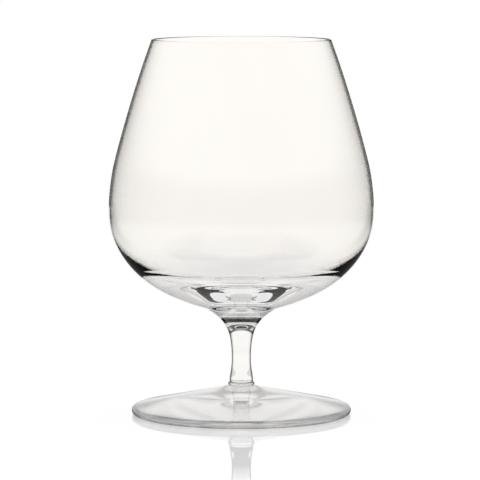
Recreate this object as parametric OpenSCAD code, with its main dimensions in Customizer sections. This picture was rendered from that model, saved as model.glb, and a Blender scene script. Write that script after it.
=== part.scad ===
// Brandy snifter: a stemmed glass with a wide belly and a narrower mouth.
// It is made the way stemware is, from gathers of clear glass joined hot, end to end:
// a blown bowl, a short drawn stem, a thin collar and a pressed foot.
// The origin is on the axis, at the table that the foot stands on. Lengths are in millimetres.

/* [Foot] */
// Diameter of the foot
foot_d = 82.8; // [60:0.2:100]
// Thickness of the rounded edge of the foot
foot_edge_t = 2.9; // [1.6:0.1:4]
// Height of the middle of the foot above the table
foot_h = 10.9; // [8.5:0.1:16]
// Width of the flat ring that the foot stands on
foot_ring_w = 1; // [0.6:0.1:6]
// Depth of the shallow hollow under the foot, inside that ring
foot_hollow_h = 0.8; // [0.2:0.1:3]

/* [Collar] */
// Diameter of the collar between the foot and the stem
collar_d = 10; // [9.6:0.1:14]
// Thickness of the collar
collar_t = 1.1; // [0.8:0.1:3]

/* [Stem] */
// Length of the stem, from the collar to the neck of the bowl
stem_l = 21; // [12:0.1:60]
// Diameter of the stem where it stands on the collar
stem_foot_d = 8.9; // [7.6:0.1:9.4]
// Radius of the rounded lower end of the stem
stem_heel_r = 0.5; // [0.2:0.1:1.5]
// Diameter of the waist of the stem, its thinnest place
stem_waist_d = 7.2; // [5:0.1:7.5]
// Height of the waist above the collar
stem_waist_h = 8.4; // [5:0.1:11]

/* [Bowl] */
// Diameter of the neck, where the bowl runs into the stem
neck_d = 11.4; // [9:0.1:16]
// Diameter of the bowl at its belly, its widest place
bowl_d = 99.7; // [85:0.1:125]
// Height of the belly above the neck
belly_h = 44; // [38:0.5:56]
// Diameter across the outside of the rim
rim_d = 67.3; // [50:0.1:84]
// Height of the bowl, from the neck to the rim
bowl_h = 108; // [90:0.5:140]
// Thickness of the rounded rim
rim_t = 0.8; // [0.6:0.1:2]
// Thickness of the wall at the belly
wall_t = 0.88; // [0.7:0.02:2]
// Thickness of the glass under the middle of the bowl, above the neck
floor_t = 11.6; // [10:0.1:14]

/* [Hidden] */

// Steps along each stretch of a curve, and round each rounded edge
curve_steps = 18;
edge_steps = 12;
$fn = 96;

glass_tint = [0.90, 0.93, 0.93, 0.45];
thick_glass_tint = [0.82, 0.87, 0.87, 0.60];

foot_r = foot_d / 2;
foot_edge_r = foot_edge_t / 2;
collar_r = collar_d / 2;
stem_foot_r = stem_foot_d / 2;
stem_waist_r = stem_waist_d / 2;
neck_r = neck_d / 2;
bowl_r = bowl_d / 2;
rim_r = rim_d / 2;
rim_edge_r = rim_t / 2;
collar_z = foot_h;
stem_z = collar_z + collar_t;
bowl_z = stem_z + stem_l;

// Each curve below is a chain of cubic stretches. Its points are shares of the box that the
// curve crosses: first the share of the way out, then the share of the way up. Every third
// point lies on the curve, and the two between are the handles that bend it.

// Outside of the bowl, from the neck up to the belly
base_shares = [[0, 0], [0.08, 0.135], [0.2, 0.16], [0.32, 0.2], [0.65, 0.31], [1, 0.57], [1, 1]];
// Wall of the bowl, from the belly in and up to the rim
wall_shares = [[0, 0], [0, 0.07], [0.053, 0.188], [0.115, 0.26], [0.2, 0.358], [0.6, 0.73], [1, 1]];
// Inside of the bowl, from the middle of its floor out and up to the belly
floor_shares = [[0, 0], [0.26, 0], [0.38, 0.065], [0.67, 0.226], [0.79, 0.292], [1, 0.52], [1, 1]];
// Side of the stem, from the waist up and out to the neck
upper_stem_shares = [[0, 0], [0, 0.44], [0.25, 0.757], [1, 1]];
// Side of the stem, from the waist down and out to the collar
lower_stem_shares = [[0, 0], [0, 0.38], [1.03, 0.76], [1, 1]];
// Top of the foot, from its edge in and up to the collar
foot_top_shares = [[0, 0], [0.25, 0.235], [0.55, 0.515], [0.8, 0.745], [0.9, 0.83], [0.95, 0.9], [1, 1]];

// The points of one cubic stretch from a to d, with handles b and c, without d itself
function stretch(a, b, c, d) =
    [for (i = [0:curve_steps - 1])
        let (t = i / curve_steps, s = 1 - t)
        s * s * s * a + 3 * s * s * t * b + 3 * s * t * t * c + t * t * t * d];

// The points of a chain of stretches, from its first point to its last
function chain(p) =
    [for (k = [0:3:len(p) - 4]) each stretch(p[k], p[k + 1], p[k + 2], p[k + 3]), p[len(p) - 1]];

// Shares made into places in the box from corner a to corner b
function place(shares, a, b) =
    [for (s = shares) [a[0] + s[0] * (b[0] - a[0]), a[1] + s[1] * (b[1] - a[1])]];

function curve(shares, a, b) = chain(place(shares, a, b));

// A round edge about c, of radius r, swept from one angle to another
function round_edge(c, r, from, to) =
    [for (i = [0:edge_steps])
        let (a = from + (to - from) * i / edge_steps)
        c + r * [cos(a), sin(a)]];

function without_last(p) = [for (i = [0:len(p) - 2]) p[i]];
function reversed(p) = [for (i = [len(p) - 1:-1:0]) p[i]];

// A closed outline of radius and height, turned about the axis
module turned(outline, z) {
    translate([0, 0, z]) rotate_extrude() polygon(outline);
}

// Blown bowl, closed below by the thick floor that runs into its neck
module bowl() {
    rim_centre = [rim_r - rim_edge_r, bowl_h - rim_edge_r];
    belly_in_r = bowl_r - wall_t;
    outside = concat(
        without_last(curve(base_shares, [neck_r, 0], [bowl_r, belly_h])),
        without_last(curve(wall_shares, [bowl_r, belly_h], [rim_r, rim_centre[1]])));
    inside = concat(
        without_last(reversed(curve(wall_shares, [belly_in_r, belly_h], [rim_r - rim_t, rim_centre[1]]))),
        reversed(curve(floor_shares, [0, floor_t], [belly_in_r, belly_h])));
    color(glass_tint)
        turned(concat([[0, 0]], outside, without_last(round_edge(rim_centre, rim_edge_r, 0, 180)), inside),
            bowl_z);
}

// Solid stem, drawn thin at its waist, with its lower end rounded
module stem() {
    heel_centre = [stem_foot_r - stem_heel_r, stem_heel_r];
    heel = without_last(round_edge(heel_centre, stem_heel_r, -90, 0));
    lower = reversed(curve(lower_stem_shares, [stem_waist_r, stem_waist_h], [stem_foot_r, stem_heel_r]));
    upper = curve(upper_stem_shares, [stem_waist_r, stem_waist_h], [neck_r, stem_l]);
    color(thick_glass_tint)
        turned(concat([[0, 0]], heel, without_last(lower), upper, [[0, stem_l]]), stem_z);
}

// Thin ring of glass with a rounded edge, squeezed between the stem and the foot
module collar() {
    edge_r = collar_t / 2;
    color(thick_glass_tint)
        turned(concat([[0, 0]], round_edge([collar_r - edge_r, edge_r], edge_r, -90, 90), [[0, collar_t]]),
            collar_z);
}

// Pressed foot, a shallow cone with a rounded edge and a slightly hollow underside
module foot() {
    edge_centre = [foot_r - foot_edge_r, foot_edge_r];
    ring_in_r = foot_r - foot_edge_r - foot_ring_w;
    rounded = without_last(round_edge(edge_centre, foot_edge_r, -90, 90));
    top = curve(foot_top_shares, [edge_centre[0], foot_edge_t], [collar_r, foot_h]);
    hollow = [[0, foot_hollow_h], [ring_in_r, 0]];
    color(thick_glass_tint)
        turned(concat(hollow, rounded, top, [[0, foot_h]]), 0);
}

bowl();
stem();
collar();
foot();
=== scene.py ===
import math

import bpy
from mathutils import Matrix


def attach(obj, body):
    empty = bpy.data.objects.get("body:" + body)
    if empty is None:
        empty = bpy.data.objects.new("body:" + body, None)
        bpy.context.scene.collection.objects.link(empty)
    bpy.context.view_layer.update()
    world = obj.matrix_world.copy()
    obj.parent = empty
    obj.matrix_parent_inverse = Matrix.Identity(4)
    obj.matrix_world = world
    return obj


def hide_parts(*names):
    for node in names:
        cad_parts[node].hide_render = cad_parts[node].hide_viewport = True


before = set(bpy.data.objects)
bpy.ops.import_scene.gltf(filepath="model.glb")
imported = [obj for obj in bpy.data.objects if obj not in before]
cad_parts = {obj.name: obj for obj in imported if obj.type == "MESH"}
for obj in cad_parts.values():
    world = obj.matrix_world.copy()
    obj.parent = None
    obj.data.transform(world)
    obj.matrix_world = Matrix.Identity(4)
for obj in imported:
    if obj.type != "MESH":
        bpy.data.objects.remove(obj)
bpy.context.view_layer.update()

# The bowl is clear glass blown into a turning mould, so it is truly round and has no seam.
# Its wall is thin above the belly and thickens towards the floor, where the gather ran down
# into the neck. The rim was cut off the blowpipe and melted round in a flame.

MM = 0.001
SIDES = 96
FINE_STEPS = 200
LIP_STEPS = 8
BOWL_STEP = 1.6 * MM

neck_z = 33.0 * MM
neck_r = 5.7 * MM
belly_z = 77.0 * MM
belly_r = 49.85 * MM
rim_z = 141.0 * MM
rim_r = 33.65 * MM
rim_t = 0.8 * MM
wall_t = 0.88 * MM
floor_t = 11.6 * MM

BASE_CURVE = [(0, 0), (0.08, 0.135), (0.2, 0.16), (0.32, 0.2), (0.65, 0.31), (1, 0.57), (1, 1)]
WALL_CURVE = [(0, 0), (0, 0.07), (0.053, 0.188), (0.115, 0.26), (0.2, 0.358), (0.6, 0.73), (1, 1)]
FLOOR_CURVE = [(0, 0), (0.26, 0), (0.38, 0.065), (0.67, 0.226), (0.79, 0.292), (1, 0.52), (1, 1)]


def bend(a, b, c, d, t):
    """The point at share t of a cubic bend from a to d, with handles b and c."""
    s = 1 - t
    return tuple(s**3 * a[j] + 3 * s * s * t * b[j] + 3 * s * t * t * c[j] + t**3 * d[j]
                 for j in (0, 1))


def side_curve(curve, start, end, step):
    """Radius and height along a chain of cubic bends, whose points are shares of the way.

    The points that come back are set evenly, so that no light catches where steps change."""
    knots = [(start[0] + x * (end[0] - start[0]), start[1] + y * (end[1] - start[1]))
             for x, y in curve]
    fine = [bend(*knots[k:k + 4], i / FINE_STEPS)
            for k in range(0, len(knots) - 1, 3) for i in range(FINE_STEPS)]
    fine.append(knots[-1])
    walked = [0.0]
    for here, there in zip(fine, fine[1:]):
        walked.append(walked[-1] + math.dist(here, there))
    steps = math.ceil(walked[-1] / step)
    points = []
    k = 0
    for i in range(steps):
        reach = walked[-1] * i / steps
        while walked[k + 1] < reach:
            k += 1
        share = (reach - walked[k]) / (walked[k + 1] - walked[k])
        points.append(tuple(a + (b - a) * share for a, b in zip(fine[k], fine[k + 1])))
    return points + [knots[-1]]


def fire_polished(centre, radius, first, last):
    """Radius and height round a melted edge, from one angle to another."""
    points = []
    for i in range(LIP_STEPS + 1):
        a = math.radians(first + (last - first) * i / LIP_STEPS)
        points.append((centre[0] + radius * math.cos(a), centre[1] + radius * math.sin(a)))
    return points


def turned_glass(name, outline):
    """Draw a piece out of a disc, ring by ring, along an outline that ends on the axis."""
    bpy.ops.object.select_all(action="DESELECT")
    bpy.ops.mesh.primitive_circle_add(vertices=SIDES, radius=outline[0][0], fill_type="TRIFAN")
    piece = bpy.context.active_object
    piece.name = name
    piece.data.name = name
    bpy.ops.object.mode_set(mode="EDIT")
    bpy.ops.mesh.select_all(action="SELECT")
    bpy.ops.transform.translate(value=(0, 0, outline[0][1]))
    bpy.ops.mesh.region_to_loop()
    for (r, z), (next_r, next_z) in zip(outline, outline[1:]):
        bpy.ops.mesh.extrude_region_move(TRANSFORM_OT_translate={"value": (0, 0, next_z - z)})
        if next_r > 0:
            bpy.ops.transform.resize(
                value=(next_r / r, next_r / r, 1), center_override=(0, 0, next_z))
        else:
            bpy.ops.mesh.merge(type="CENTER")
    bpy.ops.mesh.select_all(action="SELECT")
    bpy.ops.mesh.normals_make_consistent(inside=False)
    bpy.ops.object.mode_set(mode="OBJECT")
    return piece


SAME_PLACE = 0.001 * MM
SMOOTH_ANGLE = math.radians(35)


def finish_glass(piece, glass, joints):
    """Mark where the piece is melted to its neighbours, then smooth and finish it.

    A joint is its height, its radius and the side its disc faces: 1 up, -1 down."""
    mesh = piece.data
    mesh.materials.append(glass)
    mesh.materials.append(fused_glass)
    crease = mesh.attributes.new("crease_edge", "FLOAT", "EDGE")
    for height, radius, facing in joints:
        for face in mesh.polygons:
            at_height = abs(face.center.z - height) < SAME_PLACE
            inside = math.hypot(face.center.x, face.center.y) < radius
            if at_height and inside and face.normal.z * facing > 0:
                face.material_index = 1
        on_ring = {v.index for v in mesh.vertices
                   if abs(v.co.z - height) < SAME_PLACE
                   and abs(math.hypot(v.co.x, v.co.y) - radius) < SAME_PLACE}
        for edge in mesh.edges:
            if on_ring.issuperset(edge.vertices):
                crease.data[edge.index].value = 1.0
    smooth = piece.modifiers.new("smooth", "SUBSURF")
    smooth.levels = smooth.render_levels = 1
    bpy.ops.object.modifier_apply(modifier=smooth.name)
    bpy.ops.object.shade_smooth_by_angle(angle=SMOOTH_ANGLE)


def give(node, values):
    """Set a node's inputs to plain values, or join them to what other nodes put out."""
    for name, value in values.items():
        if isinstance(value, bpy.types.NodeSocket):
            node.id_data.links.new(value, node.inputs[name])
        else:
            node.inputs[name].default_value = value


def add(tree, kind, values, **settings):
    """A new node, with its settings made before its inputs are given."""
    node = tree.nodes.new("ShaderNode" + kind)
    for name, value in settings.items():
        setattr(node, name, value)
    give(node, values)
    return node


def mix(tree, factor, a, b, **settings):
    """Two colours mixed."""
    return add(tree, "Mix", {"Factor": factor, "A": a, "B": b}, data_type="RGBA", **settings)


def grey_ramp(tree, value, stops, **settings):
    """A share of grey for each value, from stops that are a place on the ramp and a share."""
    node = add(tree, "ValToRGB", {"Fac": value}, **settings)
    while len(node.color_ramp.elements) < len(stops):
        node.color_ramp.elements.new(1.0)
    for stop, (place, share) in zip(node.color_ramp.elements, stops):
        stop.position = place
        stop.color = (share, share, share, 1)
    return node


# All of this glass has what its making leaves: faint cords from the stirring of the melt, which
# tint it unevenly, and a shallow ripple of the tools on its skin.
GLASS_IOR = 1.5
CORDS_FROM = 0.45
CORDS_TO = 0.75

melt = bpy.data.node_groups.new("melt", "ShaderNodeTree")
for name, way, kind in (("Clear", "INPUT", "Color"), ("Cord", "INPUT", "Color"),
                        ("Cord Size", "INPUT", "Float"), ("Draw", "INPUT", "Float"),
                        ("Ripple Size", "INPUT", "Float"),
                        ("Colour", "OUTPUT", "Color"), ("Ripple", "OUTPUT", "Float")):
    melt.interface.new_socket(name, in_out=way, socket_type="NodeSocket" + kind)
asked = melt.nodes.new("NodeGroupInput").outputs
melt_end = melt.nodes.new("NodeGroupOutput")
where = add(melt, "TexCoord", {})
pull = add(melt, "CombineXYZ", {"X": 1.0, "Y": 1.0, "Z": asked["Draw"]})
drawn = add(melt, "VectorMath", {0: where.outputs["Object"], 1: pull.outputs["Vector"]},
            operation="MULTIPLY")
cords = add(melt, "TexNoise", {"Vector": drawn.outputs["Vector"], "Scale": asked["Cord Size"],
                               "Detail": 3.0, "Distortion": 0.6})
cord_mask = add(melt, "MapRange", {"Value": cords.outputs["Fac"],
                                   "From Min": CORDS_FROM, "From Max": CORDS_TO})
cord_mix = mix(melt, cord_mask.outputs["Result"], asked["Clear"], asked["Cord"])
ripple = add(melt, "TexNoise", {"Vector": drawn.outputs["Vector"],
                                "Scale": asked["Ripple Size"], "Detail": 1.0})
give(melt_end, {"Colour": cord_mix.outputs["Result"], "Ripple": ripple.outputs["Fac"]})


def clear_glass(name, clear, cord, draw, cord_size, ripple_size, ripple_depth, edge_shade_stops):
    """Clear glass whose colour keeps only a share at each slant of its skin: painted shade that
    draws its dark edges.

    The slant is 0 where the skin faces the eye and 1 where the eye looks along it."""
    material = bpy.data.materials.new(name)
    material.use_nodes = True
    tree = material.node_tree
    stuff = add(tree, "Group", {"Clear": (*clear, 1), "Cord": (*cord, 1), "Draw": draw,
                                "Cord Size": cord_size, "Ripple Size": ripple_size},
                node_tree=melt)
    slant = add(tree, "LayerWeight", {"Blend": 0.5}, name="slant")
    # Painted shade: the colour grows dark where the eye looks along the skin.
    painted_edge_shade = grey_ramp(tree, slant.outputs["Facing"], edge_shade_stops, name="painted_edge_shade")
    darker = mix(tree, 1.0, stuff.outputs["Colour"], painted_edge_shade.outputs["Color"],
                 name="darker", blend_type="MULTIPLY")
    skin = add(tree, "Bump", {"Strength": 1.0, "Distance": ripple_depth,
                              "Height": stuff.outputs["Ripple"]}, name="skin")
    give(tree.nodes["Principled BSDF"],
         {"Base Color": darker.outputs["Result"], "Normal": skin.outputs["Normal"],
          "Roughness": 0.0, "IOR": GLASS_IOR, "Transmission Weight": 1.0})
    return material


# Its stops paint dark shade only where the eye looks almost along the thin wall, as its fine dark
# outlines.
blown_glass = clear_glass(
    "blown_glass", clear=(1.0, 0.987, 0.964), cord=(0.99, 0.974, 0.95), draw=0.35, cord_size=30.0,
    ripple_size=18.0, ripple_depth=0.02 * MM, edge_shade_stops=[(0.0, 1.0), (0.91, 1.0), (0.97, 0.05)])

# Low in the bowl, where the glass is many times thicker than its wall, its colour is made greyer.
THICK_FROM = 60.0 * MM
THICK_TO = 46.0 * MM
LOW_BOWL_GREY = (0.85, 0.85, 0.86, 1)

tree = blown_glass.node_tree
where = add(tree, "TexCoord", {})
axes = add(tree, "SeparateXYZ", {"Vector": where.outputs["Object"]})
thin = add(tree, "MapRange", {"Value": axes.outputs["Z"], "From Min": THICK_TO,
                              "From Max": THICK_FROM}, interpolation_type="SMOOTHSTEP")
thick_or_thin = mix(tree, thin.outputs["Result"], LOW_BOWL_GREY,
                    tree.nodes["darker"].outputs["Result"])
give(tree.nodes["Principled BSDF"], {"Base Color": thick_or_thin.outputs["Result"]})

# Where two pieces were pressed together hot there is no longer a surface between them, only the
# same glass going on, so the discs that close each piece there are let through unseen.
fused_glass = clear_glass(
    "fused_glass", clear=(1.0, 1.0, 1.0), cord=(1.0, 1.0, 1.0), draw=1.0, cord_size=30.0,
    ripple_size=18.0, ripple_depth=0.0, edge_shade_stops=[(0.0, 1.0), (1.0, 1.0)])
give(fused_glass.node_tree.nodes["Principled BSDF"], {"Alpha": 0.0})

lip_r = rim_t / 2
lip_centre = (rim_r - lip_r, rim_z - lip_r)
neck = (neck_r, neck_z)
belly = (belly_r, belly_z)
floor_middle = (0, neck_z + floor_t)
belly_inside = (belly_r - wall_t, belly_z)
rim_inside = (rim_r - rim_t, lip_centre[1])
bowl_outline = side_curve(BASE_CURVE, neck, belly, BOWL_STEP)[:-1]
bowl_outline += side_curve(WALL_CURVE, belly, (rim_r, lip_centre[1]), BOWL_STEP)[:-1]
bowl_outline += fire_polished(lip_centre, lip_r, 0, 180)[:-1]
bowl_outline += side_curve(WALL_CURVE, belly_inside, rim_inside, BOWL_STEP)[::-1][:-1]
bowl_outline += side_curve(FLOOR_CURVE, floor_middle, belly_inside, BOWL_STEP)[::-1]
bowl = turned_glass("bowl_glass", bowl_outline)
finish_glass(bowl, blown_glass, [(neck_z, neck_r, -1)])
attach(bowl, "root")
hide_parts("bowl")

# The stem is a short solid rod of the same glass, pulled thin at its waist while it was soft.
# It flares up into the neck of the bowl and down to a small rounded heel of its own, and both
# ends were joined hot.

stem_z = 12.0 * MM
stem_foot_r = 4.45 * MM
heel_r = 0.5 * MM
stem_flat_r = stem_foot_r - heel_r
waist_z = stem_z + 8.4 * MM
waist_r = 3.6 * MM
STEM_STEP = 0.7 * MM

UPPER_STEM_CURVE = [(0, 0), (0, 0.44), (0.25, 0.757), (1, 1)]
LOWER_STEM_CURVE = [(0, 0), (0, 0.38), (1.03, 0.76), (1, 1)]

# Its stops paint dark shade from further in, as the dark sides of the stem and the collar.
solid_glass = clear_glass(
    "solid_glass", clear=(1.0, 0.987, 0.964), cord=(0.985, 0.97, 0.948), draw=0.5, cord_size=60.0,
    ripple_size=40.0, ripple_depth=0.01 * MM, edge_shade_stops=[(0.0, 1.0), (0.36, 1.0), (0.6, 0.02)])

waist = (waist_r, waist_z)
heel_top = (stem_foot_r, stem_z + heel_r)
stem_outline = fire_polished((stem_flat_r, stem_z + heel_r), heel_r, -90, 0)[:-1]
stem_outline += side_curve(LOWER_STEM_CURVE, waist, heel_top, STEM_STEP)[::-1][:-1]
stem_outline += side_curve(UPPER_STEM_CURVE, waist, neck, STEM_STEP)
stem = turned_glass("stem_glass", stem_outline + [(0, neck_z)])
finish_glass(stem, solid_glass, [(stem_z, stem_flat_r, -1), (neck_z, neck_r, 1)])
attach(stem, "root")
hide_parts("stem")

# The collar is a thin ring of glass that was squeezed out where the stem was pressed on to the
# foot. Its edge is round, and it stands a little proud of the stem all the way round.

collar_z = 10.9 * MM
collar_r = 5.0 * MM
collar_edge_r = (stem_z - collar_z) / 2
collar_flat_r = collar_r - collar_edge_r

collar_outline = fire_polished((collar_flat_r, collar_z + collar_edge_r), collar_edge_r, -90, 90)
collar_outline += [(stem_flat_r, stem_z), (0, stem_z)]
collar = turned_glass("collar_glass", collar_outline)
finish_glass(collar, solid_glass, [(collar_z, collar_flat_r, -1), (stem_z, stem_flat_r, 1)])
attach(collar, "root")
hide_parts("collar")

# The foot is a gather of glass pressed into a shallow cone with a rounded edge. Its underside is
# slightly hollow, so that the glass stands on a narrow ring. Its skin met the cold press, so it
# is less glossy than the blown and drawn glass, and keeps the faint rings of the turning. Painted
# shade greys its colour a little and darkens it where its skin is seen edge-on.

foot_r = 41.4 * MM
foot_edge_r = 1.45 * MM
foot_ring_w = 1.0 * MM
foot_hollow_h = 0.8 * MM
FOOT_STEP = 1.2 * MM
HOLLOW_STEPS = 6

FOOT_TOP_CURVE = [(0, 0), (0.25, 0.235), (0.55, 0.515), (0.8, 0.745), (0.9, 0.83), (0.95, 0.9),
                  (1, 1)]

# Its stops paint a little grey where the skin is met steeply, none at a middling slant, and dark
# shade where it is met almost edge-on.
pressed_glass = clear_glass(
    "pressed_glass", clear=(1.0, 0.985, 0.965), cord=(0.985, 0.97, 0.95), draw=1.0, cord_size=45.0,
    ripple_size=40.0, ripple_depth=0.02 * MM,
    edge_shade_stops=[(0.0, 0.8), (0.5, 0.8), (0.64, 1.0), (0.78, 1.0), (0.95, 0.3)])

# The rings of the turning are so many to the metre, and break up over a few centimetres.
TURNING_RINGS = 700.0
TURNING_BREAKS = 20.0
TURNING_DEPTH = 0.004 * MM

PRESSED_ROUGHNESS = 0.09
STEEP = 0.7
EDGE_SHADE_W = 2.0 * MM
EDGE_SHADE_STOPS = [(0.0, 0.0), (0.4, 1.0), (0.7, 1.0), (1.0, 0.2)]
EDGE_SHADE_COLOUR = (0.2, 0.2, 0.215, 1)
LINE_BREAK_SIZE = 90.0
LINE_BREAK_FROM = 0.38
LINE_BREAK_TO = 0.58
FAINTEST = 0.35

tree = pressed_glass.node_tree
shader, skin, darker = (tree.nodes[name] for name in ("Principled BSDF", "skin", "darker"))
give(shader, {"Roughness": PRESSED_ROUGHNESS})


def calc(operation, *values):
    """One sum on numbers or sockets, in the material or world being made."""
    return add(tree, "Math", dict(enumerate(values)), operation=operation).outputs["Value"]


def product(*factors):
    """All of the numbers or sockets multiplied together."""
    result = factors[0]
    for factor in factors[1:]:
        result = calc("MULTIPLY", result, factor)
    return result


# Where the skin faces out and is met steeply the painted shade is left off; it stays on the inner
# side of the skin and where the skin is met at a slant.
side = add(tree, "NewGeometry", {})
steep = calc("LESS_THAN", tree.nodes["slant"].outputs["Facing"], STEEP)
coming_in = calc("SUBTRACT", steep, side.outputs["Backfacing"])
lifted = mix(tree, 1.0, tree.nodes["painted_edge_shade"].outputs["Color"], coming_in, blend_type="LIGHTEN")
give(darker, {"B": lifted.outputs["Result"]})

where = add(tree, "TexCoord", {})
axes = add(tree, "SeparateXYZ", {"Vector": where.outputs["Object"]})
x, y = axes.outputs["X"], axes.outputs["Y"]
flat = add(tree, "CombineXYZ", {"X": x, "Y": y})
out_from_axis = add(tree, "VectorMath", {0: flat.outputs["Vector"]}, operation="LENGTH")
radius = out_from_axis.outputs["Value"]
round_and_out = add(tree, "CombineXYZ", {"X": product(x, TURNING_BREAKS),
                                         "Y": product(y, TURNING_BREAKS),
                                         "Z": product(radius, TURNING_RINGS)})
turning = add(tree, "TexNoise", {"Vector": round_and_out.outputs["Vector"], "Scale": 1.0,
                                 "Detail": 2.0})
marks = add(tree, "Bump", {"Strength": 1.0, "Distance": TURNING_DEPTH,
                           "Height": turning.outputs["Fac"], "Normal": skin.outputs["Normal"]})
give(shader, {"Normal": marks.outputs["Normal"]})

# Where the top turns over into the rounded edge, a line of painted shade darkens the colour, for
# the dark room that the rounded edge bends into view. Noise breaks the line up unevenly.
at_edge = add(tree, "MapRange", {"Value": radius, "From Min": foot_r - EDGE_SHADE_W,
                                 "From Max": foot_r})
painted_edge_line = grey_ramp(tree, at_edge.outputs["Result"], EDGE_SHADE_STOPS)
line_breaks = add(tree, "TexNoise", {"Vector": where.outputs["Object"], "Scale": LINE_BREAK_SIZE,
                                "Detail": 2.0})
broken = add(tree, "MapRange", {"Value": line_breaks.outputs["Fac"], "From Min": LINE_BREAK_FROM,
                                "From Max": LINE_BREAK_TO, "To Min": FAINTEST})
painted_edge_mask = product(painted_edge_line.outputs["Color"], broken.outputs["Result"])
painted_edge_mix = mix(tree, painted_edge_mask, darker.outputs["Result"], EDGE_SHADE_COLOUR)
give(shader, {"Base Color": painted_edge_mix.outputs["Result"]})

foot_edge_centre = (foot_r - foot_edge_r, foot_edge_r)
foot_edge_top = (foot_edge_centre[0], 2 * foot_edge_r)
ring_in_r = foot_edge_centre[0] - foot_ring_w
foot_outline = [(collar_flat_r, collar_z)]
foot_outline += side_curve(
    FOOT_TOP_CURVE, foot_edge_top, (collar_r, collar_z), FOOT_STEP)[::-1][:-1]
foot_outline += fire_polished(foot_edge_centre, foot_edge_r, 90, -90)
foot_outline += [(ring_in_r * (1 - k / HOLLOW_STEPS), foot_hollow_h * k / HOLLOW_STEPS)
                 for k in range(HOLLOW_STEPS + 1)]
foot = turned_glass("foot_glass", foot_outline)
finish_glass(foot, pressed_glass, [(collar_z, collar_flat_r, 1)])
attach(foot, "root")
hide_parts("foot")

# The glass stands on a round sheet of white acrylic with a polished face. The sheet glows white,
# as under a soft box, so that it only darkens a little where the glass stands on it, and its
# face mirrors the foot and the stem.

TABLE_R = 1.0
TABLE_SIDES = 180
TABLE_GLOW = 0.88
TABLE_IOR = 1.5
POLISH = 0.02

# Light off the outer skin of the glass finds the sheet dark near by, and all round but at the
# back. Light that bounced in one wall, or went straight through two, finds it dark far off.
# Light from the foot finds it a little dark below: a painted shadow. These are the most that each
# finds, and the share of the sheet's mirror that is left to light that has bounced.
SKIN_SHADE = 0.985
WALL_SHADE = 0.9
FOOT_SHADE = 0.12
BOUNCED_MIRROR = 0.4

# Where those shades begin and end: radii in metres, and degrees round the axis.
NEAR_SKIN = (0.08, 0.14)
FAR_OFF = (0.2, 0.7)
FOOT_SHADE_R = (0.036, 0.043)
SIDE_GAP = (9, 13)
BACK_GAP = (16, 24)

# Light is sorted by its bounces and by the skins of glass that it has crossed, at halves
# between the whole counts. A wall of the bowl has two skins, so the third is a second wall.
ANY = 0.5
FEW = 4.5
ONE_WALL = 2.5

bpy.ops.object.select_all(action="DESELECT")
bpy.ops.mesh.primitive_circle_add(vertices=TABLE_SIDES, radius=TABLE_R, fill_type="NGON")
table = bpy.context.active_object
table.name = "table"
table_white = bpy.data.materials.new("table_white")
table_white.use_nodes = True
tree = table_white.node_tree
tree.nodes.clear()


def fade(value, between, low=0.0, high=1.0):
    """A soft step from low to high, as the value goes between two others."""
    start, end = between
    step = add(tree, "MapRange", {"Value": value, "From Min": start, "From Max": end,
                                  "To Min": low, "To Max": high}, interpolation_type="SMOOTHSTEP")
    return step.outputs["Result"]


def fade_round(angle, degrees, low=0.0, high=1.0):
    """A soft step from low to high, as an angle goes between two others."""
    return fade(angle, [math.radians(d) for d in degrees], low, high)


def most(*shades):
    """The darkest of the shades."""
    result = shades[0]
    for shade in shades[1:]:
        result = calc("MAXIMUM", result, shade)
    return result


def rest_of(share):
    """What a share leaves of the whole."""
    return calc("SUBTRACT", 1.0, share)


def beside_eighths(turn):
    """How far a turn about the axis is from the nearest eighth of the round."""
    eighth = math.radians(45)
    nearest = product(calc("ROUND", calc("DIVIDE", turn, eighth)), eighth)
    return calc("ABSOLUTE", calc("SUBTRACT", turn, nearest))


def seen_from(place):
    """The height of a place or a direction, and how far it is turned from the nearest eighth
    and from the back."""
    xyz = add(tree, "SeparateXYZ", {"Vector": place}).outputs
    aside = beside_eighths(calc("ARCTAN2", xyz["Y"], xyz["X"]))
    off_back = calc("ABSOLUTE", calc("ARCTAN2", xyz["X"], xyz["Y"]))
    return xyz["Z"], aside, off_back


rays = add(tree, "LightPath", {}).outputs
crossed, bounced = rays["Transmission Depth"], rays["Glossy Depth"]
straight = calc("LESS_THAN", bounced, ANY)
few_bounces = calc("SUBTRACT", calc("LESS_THAN", bounced, FEW), straight)
one_wall = calc("LESS_THAN", crossed, ONE_WALL)
two_walls = rest_of(one_wall)
outer_skin = product(rays["Is Glossy Ray"], calc("LESS_THAN", crossed, ANY))
spot = add(tree, "NewGeometry", {}).outputs["Position"]
distance = add(tree, "VectorMath", {0: spot}, operation="LENGTH").outputs["Value"]
_, aside, off_back = seen_from(spot)

in_skin = product(outer_skin, SKIN_SHADE, most(fade_round(off_back, BACK_GAP),
                                               fade(distance, NEAR_SKIN, 1.0, 0.0)))
in_walls = most(product(few_bounces, one_wall, rays["Is Transmission Ray"], WALL_SHADE),
                product(straight, two_walls, fade_round(aside, SIDE_GAP)))
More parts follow.
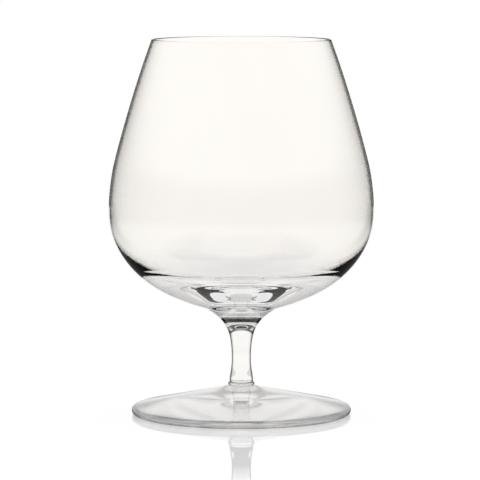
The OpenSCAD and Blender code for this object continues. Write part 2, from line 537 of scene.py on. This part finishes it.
# Under the foot, the glow seen through the glass is dimmed: a painted shadow.
painted_foot_shadow = product(fade(distance, FOOT_SHADE_R, FOOT_SHADE, 0.0), rays["Is Transmission Ray"])
light = rest_of(most(in_skin, product(in_walls, fade(distance, FAR_OFF)), painted_foot_shadow))
glow = add(tree, "Emission", {"Strength": product(light, TABLE_GLOW)})
sheet = add(tree, "BsdfDiffuse", {"Color": product(light, 1 - TABLE_GLOW)})
lit = add(tree, "AddShader", {0: glow.outputs["Emission"], 1: sheet.outputs["BSDF"]})
polish = add(tree, "BsdfGlossy", {"Color": (1, 1, 1, 1), "Roughness": POLISH})
mirror = add(tree, "Fresnel", {"IOR": TABLE_IOR})
mirror_share = most(straight, fade(distance, FAR_OFF, BOUNCED_MIRROR, 0.0))
face = add(tree, "MixShader", {0: product(mirror.outputs["Fac"], mirror_share),
                               1: lit.outputs["Shader"], 2: polish.outputs["BSDF"]})
add(tree, "OutputMaterial", {"Surface": face.outputs["Shader"]})
table.data.materials.append(table_white)

# The studio is a white room. On each of eight sides hangs a white backdrop, with dark cards
# beside it, below it and overhead that draw the edges of the glass. Which of them a beam of
# light finds depends on the walls of glass that it has crossed and on its bounces.

# Light that went straight through two walls finds the cards beside the backdrop, and through
# one wall the dark upper room. Light that bounced in one wall finds the low card and the
# ceiling, and in two walls the upper cards. Light off the outer skin has side cards of its own.
# This is how dark the room is at most, and the shares of that for two of its parts.
ROOM_SHADE = 0.985
LOW_CARD_SHADE = 0.9
LOST_SHADE = 0.5

# More halves between whole counts, two of bounces and one of skins.
ONCE = 1.5
MANY = 3.5
DEEP = 5.5

# Where the cards begin and end, in degrees round the axis, and in degrees above the horizon.
CARD_GAP = (9, 12)
SKIN_GAP = (3, 5)
CARD_FOOT, CARD_TOP = (-20, -15), (12, 20)
SKIN_FOOT, SKIN_TOP = (-35, -30), (2, 27)
LOW_CARD_TOP = (5, 19)
UPPER_ROOM_FOOT = (18, 24)
DEEPEST_FOOT = (22, 27)
LOST_FOOT = (40, 45)
CEILING_FOOT = (44, 49)
OFTEN_CEILING_FOOT = (35, 40)
UPPER_CARD_FOOT, UPPER_CARD_TOP = (40, 48), (66, 72)

studio = bpy.data.worlds.new("studio")
bpy.context.scene.world = studio
studio.use_nodes = True
studio.cycles.sampling_method = "NONE"
tree = studio.node_tree
rays = add(tree, "LightPath", {}).outputs
crossed, bounced = rays["Transmission Depth"], rays["Glossy Depth"]
straight = calc("LESS_THAN", bounced, ANY)
not_straight = rest_of(straight)
often = calc("GREATER_THAN", bounced, ONCE)
once = calc("SUBTRACT", not_straight, often)
one_wall = calc("LESS_THAN", crossed, ONE_WALL)
two_walls = rest_of(one_wall)
outer_skin = product(rays["Is Glossy Ray"], rays["Is Singular Ray"],
                     calc("LESS_THAN", crossed, ANY))
z, aside, off_back = seen_from(add(tree, "TexCoord", {}).outputs["Generated"])
height = calc("ARCSINE", z)

cards = product(fade_round(aside, CARD_GAP), fade_round(height, CARD_FOOT),
                fade_round(height, CARD_TOP, 1.0, 0.0), two_walls, straight)
low_card = product(fade_round(height, LOW_CARD_TOP, LOW_CARD_SHADE, 0.0),
                   calc("LESS_THAN", bounced, FEW))
ceiling = most(product(not_straight, fade_round(height, CEILING_FOOT)),
               product(often, fade_round(height, OFTEN_CEILING_FOOT)))
ceiling = product(one_wall, most(product(not_straight, low_card), ceiling))
upper_room = product(straight, one_wall, fade_round(height, UPPER_ROOM_FOOT))
upper_cards = product(two_walls, once, fade_round(height, UPPER_CARD_FOOT),
                      fade_round(height, UPPER_CARD_TOP, 1.0, 0.0))
lost = product(two_walls, calc("GREATER_THAN", bounced, MANY), fade_round(height, LOST_FOOT),
               LOST_SHADE)
deepest = product(straight, calc("GREATER_THAN", crossed, DEEP),
                  fade_round(height, DEEPEST_FOOT))
through = product(most(cards, ceiling, upper_room, upper_cards, lost, deepest),
                  rays["Is Transmission Ray"])
off_skin = product(outer_skin, fade_round(off_back, SKIN_GAP), fade_round(height, SKIN_FOOT),
                   fade_round(height, SKIN_TOP, 1.0, 0.0))
give(tree.nodes["Background"], {"Color": (1, 1, 1, 1),
                                "Strength": rest_of(product(most(through, off_skin), ROOM_SHADE))})

# One wide soft box hangs overhead, a little behind the glass. It gives the sheet under the
# glass its faint shadow, and is never seen in the glass itself.

SOFT_BOX_PLACE = (0, 0.1, 1.2)
SOFT_BOX_W = 0.8
SOFT_BOX_POWER = 3.0

bpy.ops.object.light_add(type="AREA", location=SOFT_BOX_PLACE)
soft_box = bpy.context.active_object
soft_box.name = "soft_box"
soft_box.data.shape = "SQUARE"
soft_box.data.size = SOFT_BOX_W
soft_box.data.energy = SOFT_BOX_POWER
soft_box.visible_glossy = False
soft_box.visible_transmission = False

# The camera stands where the photo was taken: about 1.2 m off, a little above the rim, and
# looking down by five and a half degrees through a long lens.

CAMERA_PLACE = (-0.000505, -1.2280, 0.18353)
LOOKS_DOWN = 5.485
LENS = 246.3
SENSOR_W = 36

camera_data = bpy.data.cameras.new("camera")
camera = bpy.data.objects.new("camera", camera_data)
bpy.context.scene.collection.objects.link(camera)
camera.location = CAMERA_PLACE
camera.rotation_euler = (math.radians(90 - LOOKS_DOWN), 0, 0)
camera_data.lens = LENS
camera_data.sensor_width = SENSOR_W
bpy.context.scene.camera = camera

# Glass needs light to cross and bounce off many skins before it is given up.
MOST_CROSSED = 24
MOST_BOUNCED = 12

scene = bpy.context.scene
scene.view_settings.view_transform = "Standard"
scene.cycles.max_bounces = MOST_CROSSED
scene.cycles.transmission_bounces = MOST_CROSSED
scene.cycles.glossy_bounces = MOST_BOUNCED
scene.cycles.transparent_max_bounces = MOST_CROSSED
